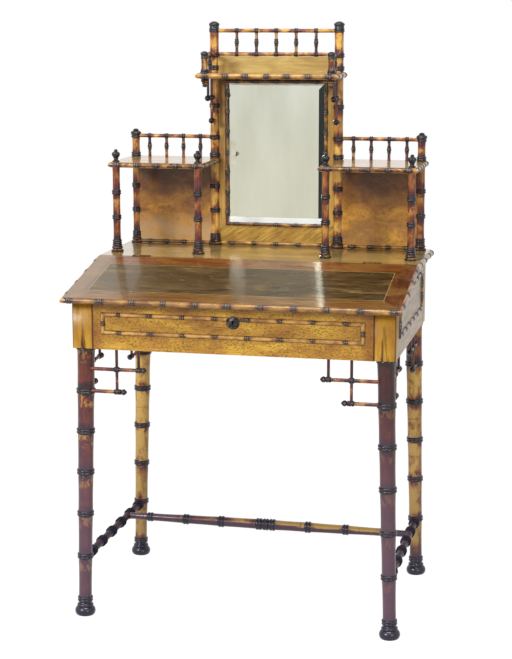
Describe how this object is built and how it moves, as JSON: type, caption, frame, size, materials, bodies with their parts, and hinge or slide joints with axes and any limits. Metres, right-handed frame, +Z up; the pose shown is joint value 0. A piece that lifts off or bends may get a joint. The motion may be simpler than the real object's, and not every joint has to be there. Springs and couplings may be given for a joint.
{
  "type": "bonheur du jour",
  "caption": "Small faux-bamboo writing table with a hinged leather-lined slope, side shelves with galleries, an upright mirror and a top shelf.",
  "frame": {"origin": "on the floor, below the middle of the whole desk", "axes": "+X to the sitter's right, -Y towards the sitter, +Z up"},
  "size_m": [0.7316, 0.5087, 1.292],
  "materials": {
    "bamboo": "turned, stained dark at the joints and varnished",
    "moulding": "split faux bamboo, varnished",
    "maple": "bird's-eye figure, varnished",
    "side_wood": "varnished",
    "crossbanding": "varnished",
    "polished_top": "polished",
    "figured_panel": "varnished",
    "plain_pine": "plain sawn",
    "leather": "worn, with a gilt line",
    "mirror_plate": "bevelled",
    "blackened_iron": "blackened",
    "brass": "dull"
  },
  "bodies": {
    "desk": {"back_panel_left": "figured_panel", "back_panel_right": "figured_panel", "base_moulding": "moulding", "bracket_front_left": "bamboo", "bracket_front_right": "bamboo", "brackets_side_left": "bamboo", "brackets_side_right": "bamboo", "case_back": "plain_pine", "case_floor": "plain_pine", "column_finials": "bamboo", "column_inner_left": "bamboo", "column_inner_right": "bamboo", "column_outer_left": "bamboo", "column_outer_right": "bamboo", "corner_posts": "bamboo", "crest_board": "maple", "crest_gallery": "bamboo", "crest_side_galleries": "bamboo", "escutcheon": "blackened_iron", "flat_top": "polished_top", "flat_top_moulding": "moulding", "frieze_front": "maple", "frieze_moulding": "moulding", "gallery_left": "bamboo", "gallery_right": "bamboo", "hinge_leaves_fixed": "brass", "hinge_pins": "brass", "hinge_rail": "plain_pine", "leg_back_left": "bamboo", "leg_back_right": "bamboo", "leg_front_left": "bamboo", "leg_front_right": "bamboo", "lock_case": "brass", "mirror_backboard": "plain_pine", "mirror_frame": "maple", "mirror_glass": "mirror_plate", "mirror_moulding": "moulding", "outer_post_left": "bamboo", "outer_post_right": "bamboo", "shelf_brackets": "bamboo", "shelf_moulding": "moulding", "side_moulding": "moulding", "side_panel_left": "side_wood", "side_panel_right": "side_wood", "side_shelf_left": "polished_top", "side_shelf_right": "polished_top", "stretcher_cross": "bamboo", "stretcher_left": "bamboo", "stretcher_right": "bamboo", "tall_post_left": "bamboo", "tall_post_right": "bamboo", "top_shelf": "polished_top", "top_shelf_moulding": "moulding"},
    "lid": {"lid_board": "crossbanding", "lid_leather": "leather", "lid_moulding": "moulding", "strike_plate": "brass", "hinge_leaves_lid": "brass"},
    "bolt": {"lock_bolt": "brass"}
  },
  "joints": [
    {"name": "lid_hinge", "type": "hinge", "parent": "desk", "child": "lid", "pos_m": [0, 0.011, 0.775], "axis": [-1, 0, 0], "range_deg": [0, 110]},
    {"name": "bolt_slide", "type": "slide", "parent": "desk", "child": "bolt", "axis": [0, 0, 1], "range_m": [0, 0.006]}
  ]
}
